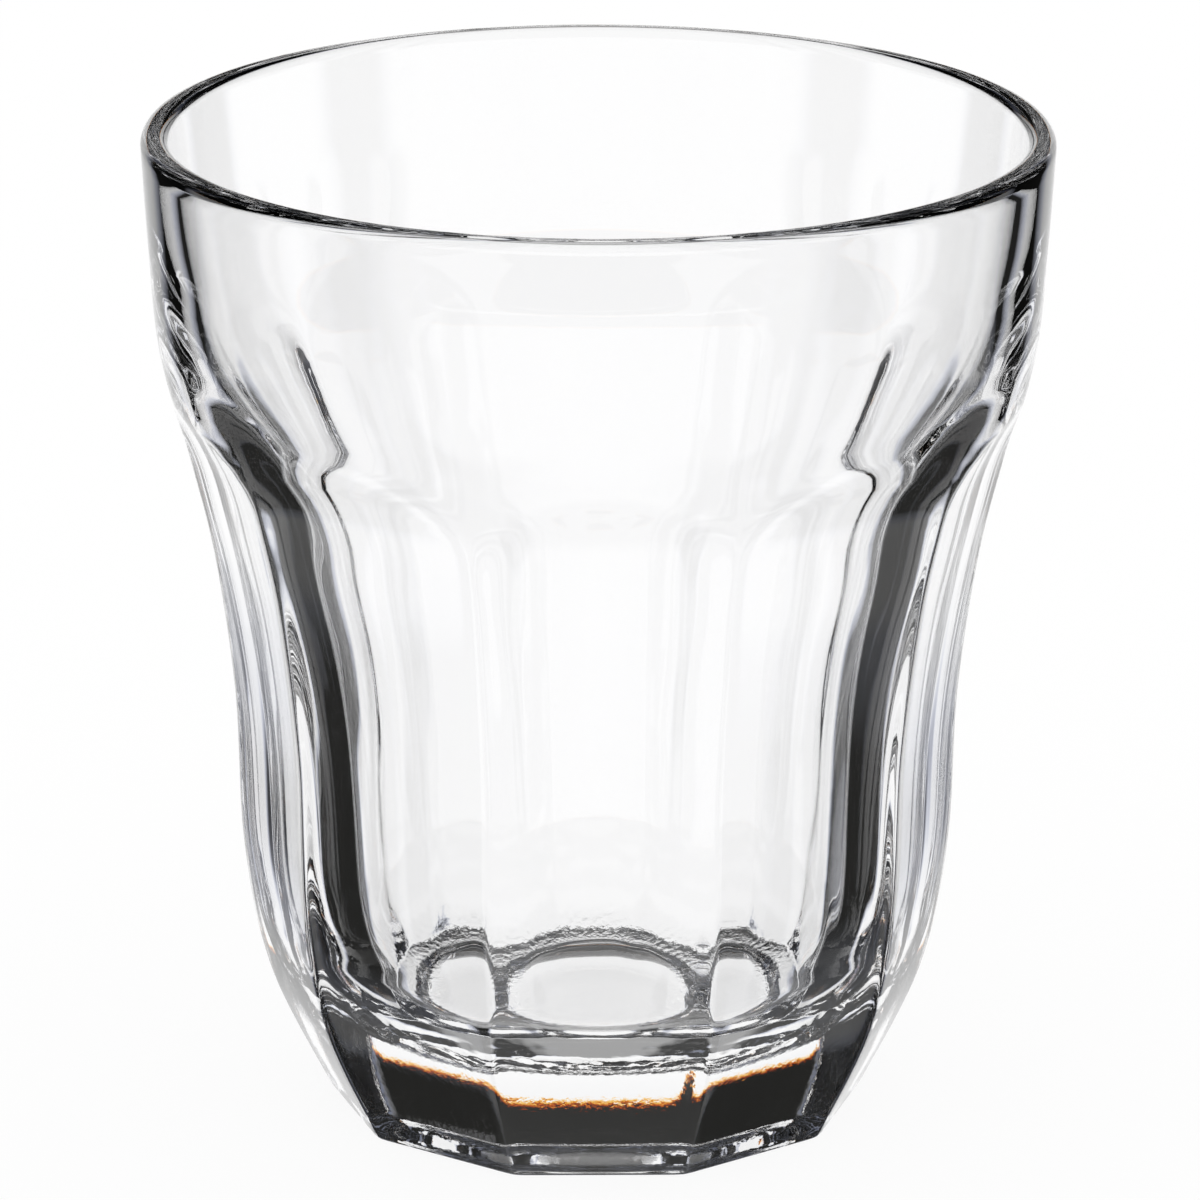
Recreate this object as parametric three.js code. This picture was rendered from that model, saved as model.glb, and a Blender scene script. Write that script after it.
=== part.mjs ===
// A pressed tasting glass: one piece of clear glass with a ten-sided foot, a waist and a round bowl.
// Sizes are millimetres. The glass stands on z = 0, its axis is z, and the middle of one facet faces -y.
import * as THREE from "three";

// Driving dimensions
const FACETS = 10;

// Rise of each station of the outline above the one below it, from the standing face to the lip's middle
const HEEL_RISE = 0.5;
const FOOT_RISE = 9.9;
const HIP_RISE = 11;
const WAIST_RISE = 13;
const FLARE_RISE = 12;
const SHOULDER_RISE = 9;
const BOWL_RISE = 9;
const COLLAR_RISE = 8;
const RIM_RISE = 8.4;

// Outer radius at each station; up to the shoulder it is the radius of the edges between facets
const STANDING_RADIUS = 21.6;
const HEEL_RADIUS = 22.4;
const FOOT_RADIUS = 27.04;
const HIP_RADIUS = 29.12;
const WAIST_RADIUS = 29.7;
const FLARE_RADIUS = 31.3;
const SHOULDER_RADIUS = 33.4;
const BOWL_RADIUS = 35.45;
const COLLAR_RADIUS = 36.14;
const RIM_RADIUS = 36.65;

// The facets run out into the round bowl at a soft ledge
const LEDGE_ABOVE_SHOULDER = 5.6;
const RUNOUT_RISE = 7;

// Glass thickness at each station, measured level from the middle of a facet or from the round bowl
const CORNER_WALL = 5;
const HIP_WALL = 4.5;
const WAIST_WALL = 4;
const FLARE_WALL = 3.15;
const SHOULDER_WALL = 3.15;
const BOWL_WALL = 3.35;
const COLLAR_WALL = 2.64;
const RIM_WALL = 2.2;

// Floor of the cup above the standing face, and the rounded corner from the inner wall down to it;
// the pulls are the shares of the rise and reach along which the corner keeps to the wall and the floor
const FLOOR_HEIGHT = 8.7;
const CORNER_RISE = 6.9;
const CORNER_REACH = 12.2;
const CORNER_WALL_PULL = 0.75;
const CORNER_FLOOR_PULL = 0.35;

// Dish under the base, inside the ring that the glass stands on
const DISH_DEPTH = 2.9;
const STANDING_RING_WIDTH = 5;
const DISH_SLOPE_WIDTH = 3.5;

// Fineness of the surface
const COLUMNS_PER_FACET = 6;
const OUTER_STEPS = 4;
const INNER_STEPS = 3;
const HEEL_STEPS = 3;
const LIP_STEPS = 6;
const CORNER_STEPS = 8;
const DISH_STEPS = 4;

const GLASS_COLOUR = 0xf2f6f7;
const GLASS_ROUGHNESS = 0.03;
const GLASS_OPACITY = 0.35;

// Angle from the middle of a facet to its edge
const HALF_FACET = Math.PI / FACETS;
const COLUMNS = FACETS * COLUMNS_PER_FACET;

// Heights of the stations above the standing face
const heelHeight = HEEL_RISE;
const footHeight = heelHeight + FOOT_RISE;
const hipHeight = footHeight + HIP_RISE;
const waistHeight = hipHeight + WAIST_RISE;
const flareHeight = waistHeight + FLARE_RISE;
const shoulderHeight = flareHeight + SHOULDER_RISE;
const bowlHeight = shoulderHeight + BOWL_RISE;
const collarHeight = bowlHeight + COLLAR_RISE;
const lipHeight = collarHeight + RIM_RISE;
const ledgeHeight = shoulderHeight + LEDGE_ABOVE_SHOULDER;
const cornerHeight = FLOOR_HEIGHT + CORNER_RISE;

// A point of an outline, given as [radius, height]
function flatPoint([radius, height]) {
  return new THREE.Vector2(radius, height);
}

// A smooth curve through stations, as a list of points
function curveThrough(stations, stepsPerStretch) {
  const curve = new THREE.SplineCurve(stations.map(flatPoint));
  return curve.getPoints((stations.length - 1) * stepsPerStretch);
}

// The outline's edge radius from the heel to the lip
const outline = curveThrough(
  [
    [HEEL_RADIUS, heelHeight],
    [FOOT_RADIUS, footHeight],
    [HIP_RADIUS, hipHeight],
    [WAIST_RADIUS, waistHeight],
    [FLARE_RADIUS, flareHeight],
    [SHOULDER_RADIUS, shoulderHeight],
    [BOWL_RADIUS, bowlHeight],
    [COLLAR_RADIUS, collarHeight],
    [RIM_RADIUS, lipHeight],
  ],
  OUTER_STEPS,
);

// The outline's radius at any height, straight between its points
function outlineRadius(height) {
  const above = Math.max(1, outline.findIndex((point) => point.y >= height));
  const [low, high] = [outline[above - 1], outline[above]];
  return THREE.MathUtils.mapLinear(height, low.y, high.y, low.x, high.x);
}

// How far a facet's middle lies from the axis, as a share of the edge radius: it grows to 1 at the ledge
function facetShare(height) {
  const runout = (height - ledgeHeight + RUNOUT_RISE) / RUNOUT_RISE;
  const flatSided = Math.cos(HALF_FACET);
  return flatSided + (1 - flatSided) * THREE.MathUtils.clamp(runout, 0, 1) ** 2;
}

// Inner radius that leaves the stated glass at a height
function innerRadius(height, wall) {
  return outlineRadius(height) * facetShare(height) - wall;
}

// Ring of points around the axis at a height; the radius depends on the angle from the facet's middle
function ring(height, radiusAtAngle) {
  return Array.from({ length: COLUMNS }, (_, column) => {
    const angle = (column / COLUMNS) * 2 * Math.PI;
    const fromMiddle = THREE.MathUtils.euclideanModulo(angle + HALF_FACET, 2 * HALF_FACET) - HALF_FACET;
    const radius = radiusAtAngle(fromMiddle);
    return new THREE.Vector3(radius * Math.sin(angle), -radius * Math.cos(angle), height);
  });
}

// Round ring
function roundRing(radius, height) {
  return ring(height, () => radius);
}

// Ring of the faceted outside: each facet is straight across, and the round bowl limits it near the ledge
function facetedRing(edgeRadius, height) {
  const flat = edgeRadius * facetShare(height);
  return ring(height, (fromMiddle) => Math.min(edgeRadius, flat / Math.cos(fromMiddle)));
}

// Smooth bend between two points, drawn towards two others, as a list of points without the first one
function bend(start, firstPull, secondPull, end, steps) {
  const points = [start, firstPull, secondPull, end].map(flatPoint);
  return new THREE.CubicBezierCurve(...points).getPoints(steps).slice(1);
}

// Round dish from its level middle down a smooth slope to the standing ring
function dishRings() {
  const ringInside = STANDING_RADIUS - STANDING_RING_WIDTH;
  return Array.from({ length: DISH_STEPS + 1 }, (_, step) => {
    const share = step / DISH_STEPS;
    const height = DISH_DEPTH * (1 - THREE.MathUtils.smoothstep(share, 0, 1));
    return roundRing(ringInside - DISH_SLOPE_WIDTH * (1 - share), height);
  });
}

// Standing ring, then the rounded heel up into the slope of the foot
function heelRings() {
  const footSlope = (FOOT_RADIUS - HEEL_RADIUS) / FOOT_RISE;
  const standing = [STANDING_RADIUS, 0];
  const corner = [HEEL_RADIUS - footSlope * HEEL_RISE, 0];
  const heel = bend(standing, corner, corner, [HEEL_RADIUS, HEEL_RISE], HEEL_STEPS);
  return [facetedRing(...standing), ...heel.slice(0, -1).map((point) => facetedRing(point.x, point.y))];
}

// Outside from the heel to the lip
function outsideRings() {
  return outline.map((point) => facetedRing(point.x, point.y));
}

// Fire-polished lip: half a circle from the outside over to the inside
function lipRings() {
  const lipRadius = RIM_WALL / 2;
  const rings = [];
  for (let step = 1; step < LIP_STEPS; step += 1) {
    const turn = (step / LIP_STEPS) * Math.PI;
    const radius = RIM_RADIUS - lipRadius + lipRadius * Math.cos(turn);
    rings.push(roundRing(radius, lipHeight + lipRadius * Math.sin(turn)));
  }
  return rings;
}

// Inside of the cup: the wall from the lip down, the rounded corner, and the edge of the flat floor
function insideRings() {
  const stations = [
    [lipHeight, RIM_WALL],
    [collarHeight, COLLAR_WALL],
    [bowlHeight, BOWL_WALL],
    [shoulderHeight, SHOULDER_WALL],
    [flareHeight, FLARE_WALL],
    [waistHeight, WAIST_WALL],
    [hipHeight, HIP_WALL],
    [cornerHeight, CORNER_WALL],
  ].map(([height, wall]) => [innerRadius(height, wall), height]);
  const wall = curveThrough(stations, INNER_STEPS);
  const [above, cornerTop] = wall.slice(-2);
  const wallSlope = (above.x - cornerTop.x) / (above.y - cornerTop.y);
  const wallPull = CORNER_WALL_PULL * CORNER_RISE;
  const floorRadius = cornerTop.x - CORNER_REACH;
  const corner = bend(
    [cornerTop.x, cornerTop.y],
    [cornerTop.x - wallPull * wallSlope, cornerTop.y - wallPull],
    [floorRadius + CORNER_FLOOR_PULL * CORNER_REACH, FLOOR_HEIGHT],
    [floorRadius, FLOOR_HEIGHT],
    CORNER_STEPS,
  );
  return [...wall, ...corner].map((point) => roundRing(point.x, point.y));
}

// Closed surface over a stack of rings, with its first and last ring filled flat
function skin(rings) {
  const first = new THREE.Vector3(0, 0, rings[0][0].z);
  const last = new THREE.Vector3(0, 0, rings.at(-1)[0].z);
  const points = [...rings.flat(), first, last];
  const firstIndex = points.length - 2;
  const lastIndex = points.length - 1;
  const topRing = (rings.length - 1) * COLUMNS;
  const triangles = [];
  for (let column = 0; column < COLUMNS; column += 1) {
    const next = (column + 1) % COLUMNS;
    triangles.push(firstIndex, next, column);
    for (let low = 0; low < topRing; low += COLUMNS) {
      const high = low + COLUMNS;
      triangles.push(low + column, low + next, high + next);
      triangles.push(low + column, high + next, high + column);
    }
    triangles.push(lastIndex, topRing + column, topRing + next);
  }
  const geometry = new THREE.BufferGeometry().setFromPoints(points).setIndex(triangles);
  geometry.computeVertexNormals();
  return geometry;
}

// The whole glass is pressed in one go, so it is one closed piece
function glassBody() {
  const rings = [
    ...dishRings(),
    ...heelRings(),
    ...outsideRings(),
    ...lipRings(),
    ...insideRings(),
  ];
  const glass = new THREE.MeshStandardMaterial({
    color: GLASS_COLOUR,
    roughness: GLASS_ROUGHNESS,
    metalness: 0,
    transparent: true,
    opacity: GLASS_OPACITY,
  });
  const body = new THREE.Mesh(skin(rings), glass);
  body.name = "glass_body";
  return body;
}

const tastingGlass = new THREE.Group();
tastingGlass.add(glassBody());

export default tastingGlass;
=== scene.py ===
"""A pressed tasting glass on a pale floor, in a white studio with dark side panels and a dark ceiling.

Lengths are metres in the part's frame: the glass stands on z = 0, and the middle of one facet faces -y.
"""

import math

import bpy
import numpy as np
from mathutils import Matrix


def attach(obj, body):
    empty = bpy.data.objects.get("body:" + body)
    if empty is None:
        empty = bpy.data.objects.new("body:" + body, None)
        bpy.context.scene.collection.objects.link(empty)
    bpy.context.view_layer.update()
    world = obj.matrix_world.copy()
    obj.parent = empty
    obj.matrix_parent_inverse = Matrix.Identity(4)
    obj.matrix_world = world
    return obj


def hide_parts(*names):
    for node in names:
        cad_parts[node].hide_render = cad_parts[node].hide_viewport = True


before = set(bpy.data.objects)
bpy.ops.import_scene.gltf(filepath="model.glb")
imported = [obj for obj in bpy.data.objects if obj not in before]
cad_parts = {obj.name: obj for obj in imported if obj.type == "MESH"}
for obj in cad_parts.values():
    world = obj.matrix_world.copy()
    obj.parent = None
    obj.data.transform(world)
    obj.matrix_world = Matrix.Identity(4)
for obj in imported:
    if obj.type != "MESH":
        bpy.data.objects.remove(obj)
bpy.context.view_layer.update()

MM = 0.001

# Outline of the glass: height and outer radius of each station, as in the part's own sizes
FACETS = 10
STANDING_RADIUS = 21.6 * MM
HEEL = (0.5 * MM, 22.4 * MM)
FOOT = (10.4 * MM, 27.04 * MM)
HIP = (21.4 * MM, 29.12 * MM)
WAIST = (34.4 * MM, 29.7 * MM)
FLARE = (46.4 * MM, 31.3 * MM)
SHOULDER = (55.4 * MM, 33.4 * MM)
BOWL = (64.4 * MM, 35.45 * MM)
COLLAR = (72.4 * MM, 36.14 * MM)
RIM = (80.8 * MM, 36.65 * MM)
LIP_THICKNESS = 2.2 * MM

# How far both ends of the rounded heel reach towards the sharp corner that it rounds off
HEEL_PULL = 0.9

# The facets run out into the round bowl at a soft ledge, up to a limit past it, and their edges are rounded
LEDGE_HEIGHT = 61 * MM
RUNOUT_RISE = 7 * MM
MOST_RUNOUT = math.sqrt(3)
EDGE_ROUNDING = 0.9 * MM
LEDGE_SOFTNESS = 0.3 * MM

# Inside of the cup: height and radius of each station, and the rounded corner down to the flat floor
FLOOR_HEIGHT = 8.7 * MM
FLOOR_RADIUS = 9.7 * MM
INSIDE_CORNER = (15.6 * MM, 21.9 * MM)
INSIDE_HIP = (21.4 * MM, 23.2 * MM)
INSIDE_WAIST = (34.4 * MM, 24.25 * MM)
INSIDE_FLARE = (46.4 * MM, 26.6 * MM)
INSIDE_SHOULDER = (55.4 * MM, 28.7 * MM)
INSIDE_BOWL = (64.4 * MM, 32.1 * MM)
INSIDE_COLLAR = (72.4 * MM, 33.5 * MM)
INSIDE_RIM = (80.8 * MM, 34.45 * MM)
CORNER_WALL_PULL = 0.75
CORNER_FLOOR_PULL = 0.35

# Round dish under the base, inside the ring that the glass stands on
DISH_DEPTH = 2.9 * MM
DISH_RADIUS = 16.6 * MM
DISH_SLOPE = 3.5 * MM

# Ripples that pressing leaves in the bottom of the cup: height and length of the waves, and where they start
RIPPLE_HEIGHT = 0.008 * MM
RIPPLE_LENGTH = 1.3 * MM
RIPPLE_WAVES = 7
RIPPLE_TURN = math.radians(137.5)
RIPPLE_START = (10 * MM, 12.5 * MM)

# Faint upright waves in the inside wall: their height, how many of each go round, how many starting phases
# there are, and the rise that moves them on by a radian
WAVE_HEIGHT = 0.006 * MM
WAVE_COUNTS = (17, 29, 43, 61)
WAVE_PHASES = 5
WAVE_LEAN_RISE = 9 * MM

# Orange-peel grain around the floor of the cup, and a little of it on the outside of the foot: its depth, its
# fineness, and the radii and heights between which it starts and ends
GRAIN_DEPTH = 0.05 * MM
GRAIN_PER_METRE = 2200
GRAIN_DETAIL = 2
FLOOR_GRAIN_START = (9.6 * MM, 10.8 * MM)
FLOOR_GRAIN_END = (14 * MM, 17 * MM)
FLOOR_GRAIN_BOTTOM = (5 * MM, 7 * MM)
FOOT_GRAIN_SHARE = 0.12
FOOT_GRAIN_START = (21.5 * MM, 22 * MM)
FOOT_GRAIN_TOP = (10 * MM, 16 * MM)

# Clear glass and its faint tint
GLASS_IOR = 1.52
TINT_PER_METRE = 60
TINT_DETAIL = 2
CLEAR_TINT = (1, 1, 1, 1)
PALE_TINT = (0.99, 0.99, 0.995, 1)

# Fineness of the surface
COLUMNS_PER_FACET = 40
EDGE_CLUSTERING = 1.6
SPLINE_STEPS = 7
UNDERSIDE_ROWS = 40
HEEL_ROWS = 7
LIP_ROWS = 16
CORNER_ROWS = 44
FLOOR_ROWS = 12
HUB_RADIUS = 1 * MM

HALF_FACET = math.pi / FACETS

# Where a mixing node keeps its two colours and its mixed colour
MIX_COLOURS = slice(6, 8)
MIX_RESULT = 2

# Camera of the photo, which is 1200 pixels square: it stands in front of the glass and above it
PHOTO_WIDTH = 1200
CAMERA_DISTANCE = 569.4 * MM
CAMERA_HEIGHT = 222.7 * MM
CAMERA_PITCH = math.radians(17.6)
CAMERA_TURN = math.radians(0.95)
CAMERA_ROLL = math.radians(0.18)
FOCAL_PIXELS = 7312
AXIS_PIXEL = 597
SENSOR_WIDTH = 36
NEAREST_SEEN = 10 * MM

# Studio as the glass sees it: angles are from straight behind the glass, and heights are angles above level
PANEL_START = (math.radians(24), math.radians(34))
STANDING_PANEL_END = (math.radians(56), math.radians(62))
LYING_PANEL_END = (math.radians(83), math.radians(92))
LYING_PANEL_TOP = (math.radians(-23), math.radians(-21))
FRONT_PANEL_START = (math.radians(96), math.radians(102))
FRONT_PANEL_END = (math.radians(118), math.radians(124))
# Painted shadow of the glass on the ground right under it, seen only in the glass: the ground goes grey below
# these heights
GROUND_SHADE_TOP = (math.radians(-66), math.radians(-56))
CEILING_START = (math.radians(6.8), math.radians(7.9))
FRONT_CEILING_LIFT = math.radians(8)
FRONT_START = (math.radians(80), math.radians(120))
STUDIO_WHITE = (1, 1, 1, 1)
STUDIO_YELLOW = (1, 0.62, 0.1, 1)
STUDIO_RED = (0.62, 0.09, 0.004, 1)
STUDIO_BLUE = (0.36, 0.4, 0.55, 1)
# Grey of that painted shadow under the glass
STUDIO_SHADE = (0.35, 0.35, 0.35, 1)
STUDIO_DARK = (0.018, 0.018, 0.017, 1)

# How often light turns in the glass before it counts as lost, as in the dark lip
LIGHT_BOUNCES = 13

# Floor of the studio
FLOOR_DROP = 0.05 * MM
FLOOR_HALF_SIZE = 3
FLOOR_LIT_SHARE = 0.08


def smooth_curve(stations, steps):
    """Points of a curve through the stations.

    Each stretch is a cubic whose slope at a station is half the step from the station before it to the next.
    """
    points = np.array(stations)
    padded = np.concatenate([points[:1], points, points[-1:]])
    before, start, end, after = padded[:-3], padded[1:-2], padded[2:-1], padded[3:]
    leaving = (end - before) / 2
    arriving = (after - start) / 2
    t = np.linspace(0, 1, steps, endpoint=False)[:, None, None]
    cubic = 2 * start - 2 * end + leaving + arriving
    square = -3 * start + 3 * end - 2 * leaving - arriving
    curve = ((cubic * t + square) * t + leaving) * t + start
    return np.concatenate([curve.swapaxes(0, 1).reshape(-1, 2), points[-1:]])


def bend(start, first_pull, second_pull, end, count):
    """Points of a Bezier curve after its start: each is a blend of the four points with cubic weights."""
    t = np.linspace(0, 1, count + 1)[1:, None]
    weights = [(1 - t) ** 3, 3 * (1 - t) ** 2 * t, 3 * (1 - t) * t**2, t**3]
    points = (start, first_pull, second_pull, end)
    return sum(weight * np.array(point) for weight, point in zip(weights, points))


def smooth_step(x):
    """Rises from 0 to 1 with level ends, as three x squared less two x cubed."""
    x = np.clip(x, 0, 1)
    return x * x * (3 - 2 * x)


def soft_least(a, b, softness):
    """The lesser of two surfaces, with a parabola of the given width where they cross."""
    share = np.clip(0.5 + 0.5 * (b - a) / softness, 0, 1)
    return b + (a - b) * share - softness * share * (1 - share)


def column_angles():
    """Angles around the axis from the middle of the front facet, closer together towards the facet edges."""
    across = np.linspace(-1, 1, COLUMNS_PER_FACET, endpoint=False)
    in_facet = HALF_FACET * np.sign(across) * (1 - (1 - np.abs(across)) ** EDGE_CLUSTERING)
    return (in_facet + 2 * HALF_FACET * np.arange(FACETS)[:, None]).ravel()


def faceted_radius(height, edge_radius, angle):
    """Radius of the faceted outside on a grid of heights and angles.

    A facet is flat across: its radius is its distance from the axis over the cosine of the angle from its
    middle. Between facets a small arc rounds the edge. Below the ledge the distance leaves the edges on the
    outline; it grows with the square of the height above the run-out's start, until the round bowl cuts the
    facet off.
    """
    from_middle = np.abs((angle + HALF_FACET) % (2 * HALF_FACET) - HALF_FACET)
    from_edge = HALF_FACET - from_middle
    runout = np.clip((height - LEDGE_HEIGHT + RUNOUT_RISE) / RUNOUT_RISE, 0, MOST_RUNOUT)
    flat_share = math.cos(HALF_FACET) + (1 - math.cos(HALF_FACET)) * runout**2
    rounding_loss = EDGE_ROUNDING * (1 / math.cos(HALF_FACET) - 1)
    distance = ((edge_radius + rounding_loss) * flat_share)[:, None]
    arc_centre = (distance - EDGE_ROUNDING) / math.cos(HALF_FACET)
    arc_end = np.arctan2(
        EDGE_ROUNDING * math.sin(HALF_FACET), arc_centre + EDGE_ROUNDING * math.cos(HALF_FACET)
    )
    arc_square = np.maximum(EDGE_ROUNDING**2 - (arc_centre * np.sin(from_edge)) ** 2, 0)
    arc = arc_centre * np.cos(from_edge) + np.sqrt(arc_square)
    facet = np.where(from_edge < arc_end, arc, distance / np.cos(from_middle))
    return soft_least(np.broadcast_to(edge_radius[:, None], facet.shape), facet, LEDGE_SOFTNESS)


def with_round_dish(radius, faceted):
    """The faceted radius with the dish made round: one blends into the other across the standing ring."""
    across_ring = smooth_step((radius - DISH_RADIUS) / (STANDING_RADIUS - DISH_RADIUS))
    return radius + across_ring * (faceted - radius)


def underside_profile():
    """Heights and radii from near the middle of the dish out to the standing ring, then round the heel.

    The dish is level and drops to the ring in a smooth step; the heel bends from level into the foot's slope.
    """
    radius = np.linspace(HUB_RADIUS, STANDING_RADIUS, UNDERSIDE_ROWS)
    height = DISH_DEPTH * (1 - smooth_step((radius - DISH_RADIUS + DISH_SLOPE) / DISH_SLOPE))
    foot_slope = (FOOT[1] - HEEL[1]) / (FOOT[0] - HEEL[0])
    standing = np.array([0, STANDING_RADIUS])
    corner = np.array([0, HEEL[1] - foot_slope * HEEL[0]])
    level_pull = standing + HEEL_PULL * (corner - standing)
    foot_pull = HEEL + HEEL_PULL * (corner - HEEL)
    heel = bend(standing, level_pull, foot_pull, HEEL, HEEL_ROWS)
    return np.concatenate([np.stack([height, radius], 1), heel[:-1]])


def outside_profile():
    """Heights and edge radii from the heel to the middle of the lip."""
    return smooth_curve([HEEL, FOOT, HIP, WAIST, FLARE, SHOULDER, BOWL, COLLAR, RIM], SPLINE_STEPS)


def lip_profile():
    """Heights and radii over the lip: half a circle from the outside to the inside."""
    turn = np.linspace(0, math.pi, LIP_ROWS)[1:-1]
    half = LIP_THICKNESS / 2
    return np.stack([RIM[0] + half * np.sin(turn), RIM[1] - half + half * np.cos(turn)], 1)


def inside_profile():
    """Heights and radii from the lip down the inside wall, round the corner and in over the floor."""
    lower = [INSIDE_CORNER, INSIDE_HIP, INSIDE_WAIST, INSIDE_FLARE]
    upper = [INSIDE_SHOULDER, INSIDE_BOWL, INSIDE_COLLAR, INSIDE_RIM]
    wall = smooth_curve(lower + upper, SPLINE_STEPS)
    drop = INSIDE_CORNER[0] - FLOOR_HEIGHT
    wall_slope = (wall[1, 1] - wall[0, 1]) / (wall[1, 0] - wall[0, 0])
    wall_pull = (
        INSIDE_CORNER[0] - CORNER_WALL_PULL * drop,
        INSIDE_CORNER[1] - CORNER_WALL_PULL * drop * wall_slope,
    )
    floor_pull = (FLOOR_HEIGHT, FLOOR_RADIUS + CORNER_FLOOR_PULL * (INSIDE_CORNER[1] - FLOOR_RADIUS))
    corner = bend(INSIDE_CORNER, wall_pull, floor_pull, (FLOOR_HEIGHT, FLOOR_RADIUS), CORNER_ROWS)
    floor_radius = np.linspace(FLOOR_RADIUS, HUB_RADIUS, FLOOR_ROWS)[1:]
    floor = np.stack([np.full_like(floor_radius, FLOOR_HEIGHT), floor_radius], 1)
    return np.concatenate([wall[::-1], corner, floor])


def ripples(radius, height, angle):
    """Height of the ripples over the bottom of the cup.

    It is a sum of sine waves of one length that cross the floor in directions a golden angle apart. They fade
    out towards the middle of the floor and up the corner.
    """
    x, y = radius * np.sin(angle), -radius * np.cos(angle)
    direction = RIPPLE_TURN * np.arange(RIPPLE_WAVES)[:, None, None]
    across = x * np.cos(direction) + y * np.sin(direction)
    waves = np.sin(2 * math.pi * across / RIPPLE_LENGTH + direction).sum(0)
    start, end = RIPPLE_START
    outwards = smooth_step((radius - start) / (end - start))
    upwards = smooth_step((INSIDE_CORNER[0] - height) / (INSIDE_CORNER[0] - FLOOR_HEIGHT))
    return RIPPLE_HEIGHT * outwards * upwards * waves


def wall_waves(height, angle):
    """Radius of the upright waves in the inside wall.

    It is a sum of sine waves around the axis, whose phases move on with height. They fade out down to the
    corner and up to the bowl.
    """
    count = np.array(WAVE_COUNTS)[:, None, None]
    waves = np.sin(count * angle + count % WAVE_PHASES + height / WAVE_LEAN_RISE).sum(0)
    upwards = smooth_step((height - INSIDE_CORNER[0]) / (INSIDE_HIP[0] - INSIDE_CORNER[0]))
    downwards = smooth_step((INSIDE_BOWL[0] - height) / (INSIDE_BOWL[0] - INSIDE_FLARE[0]))
    return WAVE_HEIGHT * upwards * downwards * waves


def closed_skin(name, radius, height, angle):
    """A closed mesh over a grid of rows and columns; its first and last row are drawn to a point on the axis.

    A point lies at radius times the sine and minus cosine of its angle, and at its height.
    """
    rows, columns = radius.shape
    grid = np.stack([radius * np.sin(angle), -radius * np.cos(angle), height], -1)
    poles = np.array([[0, 0, height[0].mean()], [0, 0, height[-1].mean()]])
    points = np.concatenate([grid.reshape(-1, 3), poles])
    column = np.arange(columns)
    following = (column + 1) % columns
    row = np.arange(rows - 1)[:, None] * columns
    sides = np.stack([row + column, row + following, row + columns + following, row + columns + column], -1)
    first = np.stack([np.full(columns, rows * columns), following, column], -1)
    last_row = (rows - 1) * columns
    last = np.stack([np.full(columns, rows * columns + 1), last_row + column, last_row + following], -1)
    mesh = bpy.data.meshes.new(name)
    mesh.from_pydata(points.tolist(), [], sides.reshape(-1, 4).tolist() + first.tolist() + last.tolist())
    mesh.shade_smooth()
    return mesh


def glass_mesh():
    """The whole glass as one surface: underside, facets and bowl, lip, inside wall and rippled floor."""
    angle = column_angles()
    outer = np.concatenate([underside_profile(), outside_profile()])
    inner = np.concatenate([lip_profile(), inside_profile()])
    outer_radius = with_round_dish(outer[:, 1:], faceted_radius(outer[:, 0], outer[:, 1], angle))
    outer_height = np.repeat(outer[:, :1], len(angle), 1)
    inner_radius = np.repeat(inner[:, 1:], len(angle), 1)
    inner_height = np.repeat(inner[:, :1], len(angle), 1)
    radius = np.concatenate([outer_radius, inner_radius + wall_waves(inner_height, angle)])
    height = np.concatenate([outer_height, inner_height + ripples(inner_radius, inner_height, angle)])
    return closed_skin("glass_body_skin", radius, height, angle)


def put(name, mesh, material):
    """A new object in the scene at the origin, with one material."""
    mesh.materials.append(material)
    piece = bpy.data.objects.new(name, mesh)
    bpy.context.scene.collection.objects.link(piece)
    return piece


def new_material(name):
    """A material with an empty node tree and its output node."""
    material = bpy.data.materials.new(name)
    material.use_nodes = True
    material.node_tree.nodes.clear()
    return material, material.node_tree.nodes.new("ShaderNodeOutputMaterial")


def arithmetic(tree, operation, first, second=None):
    """The result of one operation on one or two sockets of a node tree."""
    node = tree.nodes.new("ShaderNodeMath")
    node.operation = operation
    tree.links.new(first, node.inputs[0])
    if second is not None:
        tree.links.new(second, node.inputs[1])
    return node.outputs["Value"]


def rising(tree, value, start_and_end, most=1):
    """A value that goes from 0 to a most while another goes from a start to an end."""
    node = tree.nodes.new("ShaderNodeMapRange")
    node.inputs["From Min"].default_value, node.inputs["From Max"].default_value = start_and_end
    node.inputs["To Max"].default_value = most
    tree.links.new(value, node.inputs["Value"])
    return node.outputs["Result"]


def falling(tree, value, start_and_end):
    """A value that goes from 1 to 0 while another goes from a start to an end."""
    return rising(tree, value, start_and_end[::-1])


def mixed(tree, share, first, second):
    """A colour socket between two colours, which are sockets or fixed colours."""
    node = tree.nodes.new("ShaderNodeMix")
    node.data_type = "RGBA"
    tree.links.new(share, node.inputs["Factor"])
    for colour, socket in zip((first, second), node.inputs[MIX_COLOURS]):
        if isinstance(colour, tuple):
            socket.default_value = colour
        else:
            tree.links.new(colour, socket)
    return node.outputs[MIX_RESULT]


def noise(tree, place, per_metre, detail):
    """A cloudy value from 0 to 1, with a number of cells to the metre."""
    node = tree.nodes.new("ShaderNodeTexNoise")
    node.inputs["Scale"].default_value = per_metre
    node.inputs["Detail"].default_value = detail
    tree.links.new(place, node.inputs["Vector"])
    return node.outputs["Fac"]


def product(tree, first, *others):
    """Several values multiplied together."""
    for other in others:
        first = arithmetic(tree, "MULTIPLY", first, other)
    return first


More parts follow.
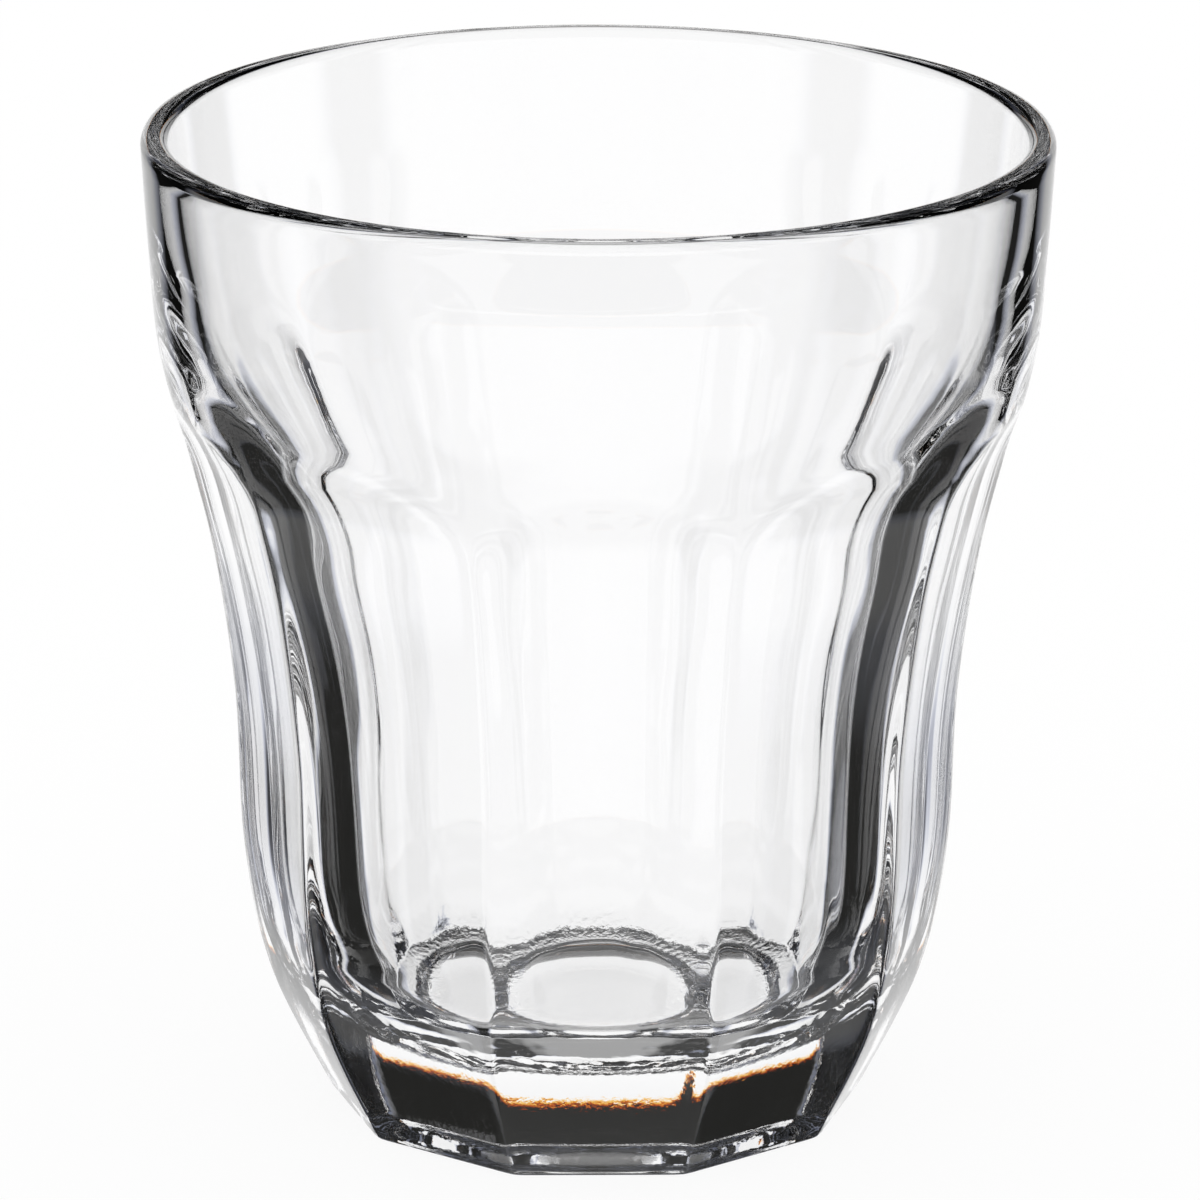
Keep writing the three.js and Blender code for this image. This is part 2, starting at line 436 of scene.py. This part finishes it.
def grain_mask(tree, place):
    """A value that is 1 around the floor of the cup, small on the outside of the foot, and 0 elsewhere."""
    parts = tree.nodes.new("ShaderNodeSeparateXYZ")
    tree.links.new(place, parts.inputs["Vector"])
    level = tree.nodes.new("ShaderNodeVectorMath")
    level.operation = "MULTIPLY"
    level.inputs[1].default_value = (1, 1, 0)
    tree.links.new(place, level.inputs[0])
    reach = tree.nodes.new("ShaderNodeVectorMath")
    reach.operation = "LENGTH"
    tree.links.new(level.outputs["Vector"], reach.inputs[0])
    height, radius = parts.outputs["Z"], reach.outputs["Value"]
    around_floor = product(
        tree,
        rising(tree, radius, FLOOR_GRAIN_START),
        falling(tree, radius, FLOOR_GRAIN_END),
        rising(tree, height, FLOOR_GRAIN_BOTTOM),
    )
    on_foot = product(
        tree, rising(tree, radius, FOOT_GRAIN_START, FOOT_GRAIN_SHARE), falling(tree, height, FOOT_GRAIN_TOP)
    )
    return arithmetic(tree, "MAXIMUM", around_floor, on_foot)


def clear_glass():
    """Clear pressed glass with a faint uneven tint, and with grain around the cup's floor and on the foot."""
    material, output = new_material("clear_glass")
    tree = material.node_tree
    place = tree.nodes.new("ShaderNodeTexCoord").outputs["Object"]
    tint = mixed(tree, noise(tree, place, TINT_PER_METRE, TINT_DETAIL), PALE_TINT, CLEAR_TINT)
    grain = tree.nodes.new("ShaderNodeBump")
    grain.inputs["Distance"].default_value = GRAIN_DEPTH
    fine = noise(tree, place, GRAIN_PER_METRE, GRAIN_DETAIL)
    tree.links.new(product(tree, fine, grain_mask(tree, place)), grain.inputs["Height"])
    glass = tree.nodes.new("ShaderNodeBsdfPrincipled")
    glass.inputs["Roughness"].default_value = 0
    glass.inputs["IOR"].default_value = GLASS_IOR
    glass.inputs["Transmission Weight"].default_value = 1
    tree.links.new(tint, glass.inputs["Base Color"])
    tree.links.new(grain.outputs["Normal"], glass.inputs["Normal"])
    tree.links.new(glass.outputs["BSDF"], output.inputs["Surface"])
    return material


def pale_floor():
    """White floor: most of its brightness is its own, and the rest is the light and shadow on it."""
    material, output = new_material("pale_floor")
    tree = material.node_tree
    lit = tree.nodes.new("ShaderNodeBsdfDiffuse")
    lit.inputs["Color"].default_value = (FLOOR_LIT_SHARE, FLOOR_LIT_SHARE, FLOOR_LIT_SHARE, 1)
    own = tree.nodes.new("ShaderNodeEmission")
    own.inputs["Strength"].default_value = 1 - FLOOR_LIT_SHARE
    both = tree.nodes.new("ShaderNodeAddShader")
    tree.links.new(lit.outputs["BSDF"], both.inputs[0])
    tree.links.new(own.outputs["Emission"], both.inputs[1])
    tree.links.new(both.outputs["Shader"], output.inputs["Surface"])
    return material


def add_floor():
    """A square sheet just under the glass. The glass sees the studio's own ground instead of it."""
    side = FLOOR_HALF_SIZE
    corners = [(x, y, -FLOOR_DROP) for x, y in ((-side, -side), (side, -side), (side, side), (-side, side))]
    mesh = bpy.data.meshes.new("floor")
    mesh.from_pydata(corners, [], [(0, 1, 2, 3)])
    floor = put("floor", mesh, pale_floor())
    floor.visible_glossy = False
    floor.visible_transmission = False


def panel_shade(tree, around, above):
    """How far a direction lies in a dark panel: one behind, one on the ground beside it, or one in front."""
    start = rising(tree, around, PANEL_START)
    standing = falling(tree, around, STANDING_PANEL_END)
    lying = product(tree, falling(tree, around, LYING_PANEL_END), falling(tree, above, LYING_PANEL_TOP))
    behind = product(tree, start, arithmetic(tree, "MAXIMUM", standing, lying))
    front = product(tree, rising(tree, around, FRONT_PANEL_START), falling(tree, around, FRONT_PANEL_END))
    return arithmetic(tree, "MAXIMUM", behind, front)


def fringe(tree, share, *colours):
    """The colour of an edge from white to dark, through the given colours at even steps."""
    node = tree.nodes.new("ShaderNodeValToRGB")
    node.color_ramp.elements[0].color = STUDIO_WHITE
    node.color_ramp.elements[1].color = STUDIO_DARK
    for step, colour in enumerate(colours, 1):
        node.color_ramp.elements.new(step / (len(colours) + 1)).color = colour
    tree.links.new(share, node.inputs["Fac"])
    return node.outputs["Color"]


def ceiling_shade(tree, around, above):
    """How far a direction lies in the dark ceiling, whose edge is higher in front of the glass."""
    lift = rising(tree, around, FRONT_START, FRONT_CEILING_LIFT)
    return rising(tree, arithmetic(tree, "SUBTRACT", above, lift), CEILING_START)


def add_studio():
    """Even white light all round, in which glass sees dark side panels, a dark ceiling and a painted shadow
    on the ground under it.
    """
    world = bpy.data.worlds.new("studio")
    world.use_nodes = True
    tree = world.node_tree
    tree.nodes.clear()
    direction = tree.nodes.new("ShaderNodeTexCoord")
    parts = tree.nodes.new("ShaderNodeSeparateXYZ")
    tree.links.new(direction.outputs["Generated"], parts.inputs["Vector"])
    sideways = arithmetic(tree, "ABSOLUTE", parts.outputs["X"])
    around = arithmetic(tree, "ARCTAN2", sideways, parts.outputs["Y"])
    above = arithmetic(tree, "ARCSINE", parts.outputs["Z"])
    ceiling = fringe(tree, ceiling_shade(tree, around, above), STUDIO_YELLOW, STUDIO_RED)
    shade = panel_shade(tree, around, above)
    panelled = mixed(tree, shade, ceiling, fringe(tree, shade, STUDIO_BLUE))
    # Painted shadow: the ground straight under the glass is grey where the glass sees it
    seen_in_glass = mixed(tree, falling(tree, above, GROUND_SHADE_TOP), panelled, STUDIO_SHADE)
    path = tree.nodes.new("ShaderNodeLightPath")
    by_glass = arithmetic(tree, "MAXIMUM", path.outputs["Is Glossy Ray"], path.outputs["Is Transmission Ray"])
    light = tree.nodes.new("ShaderNodeBackground")
    tree.links.new(mixed(tree, by_glass, STUDIO_WHITE, seen_in_glass), light.inputs["Color"])
    output = tree.nodes.new("ShaderNodeOutputWorld")
    tree.links.new(light.outputs["Background"], output.inputs["Surface"])
    bpy.context.scene.world = world


def add_camera():
    """The photo's camera: it looks down at the glass, turned a little from the front facet's middle."""
    camera = bpy.data.cameras.new("photo_camera")
    camera.sensor_width = SENSOR_WIDTH
    camera.lens = FOCAL_PIXELS / PHOTO_WIDTH * SENSOR_WIDTH
    camera.shift_x = (PHOTO_WIDTH / 2 - AXIS_PIXEL) / PHOTO_WIDTH
    camera.clip_start = NEAREST_SEEN
    holder = bpy.data.objects.new("photo_camera", camera)
    turn = Matrix.Rotation(-CAMERA_TURN, 4, "Z")
    back = Matrix.Translation((0, -CAMERA_DISTANCE, CAMERA_HEIGHT))
    pitch = Matrix.Rotation(math.pi / 2 - CAMERA_PITCH, 4, "X")
    holder.matrix_world = turn @ back @ pitch @ Matrix.Rotation(CAMERA_ROLL, 4, "Z")
    bpy.context.scene.collection.objects.link(holder)
    bpy.context.scene.camera = holder


def add_glass():
    """The glass in place of its CAD node."""
    body = put("glass_body_clear", glass_mesh(), clear_glass())
    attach(body, "root")
    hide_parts("glass_body")


def set_light_paths():
    """Plain colours, and a limit to how often light turns in the glass."""
    scene = bpy.context.scene
    scene.view_settings.view_transform = "Standard"
    scene.cycles.max_bounces = LIGHT_BOUNCES
    scene.cycles.transmission_bounces = LIGHT_BOUNCES
    scene.cycles.glossy_bounces = LIGHT_BOUNCES


add_camera()
add_glass()
add_floor()
add_studio()
set_light_paths()
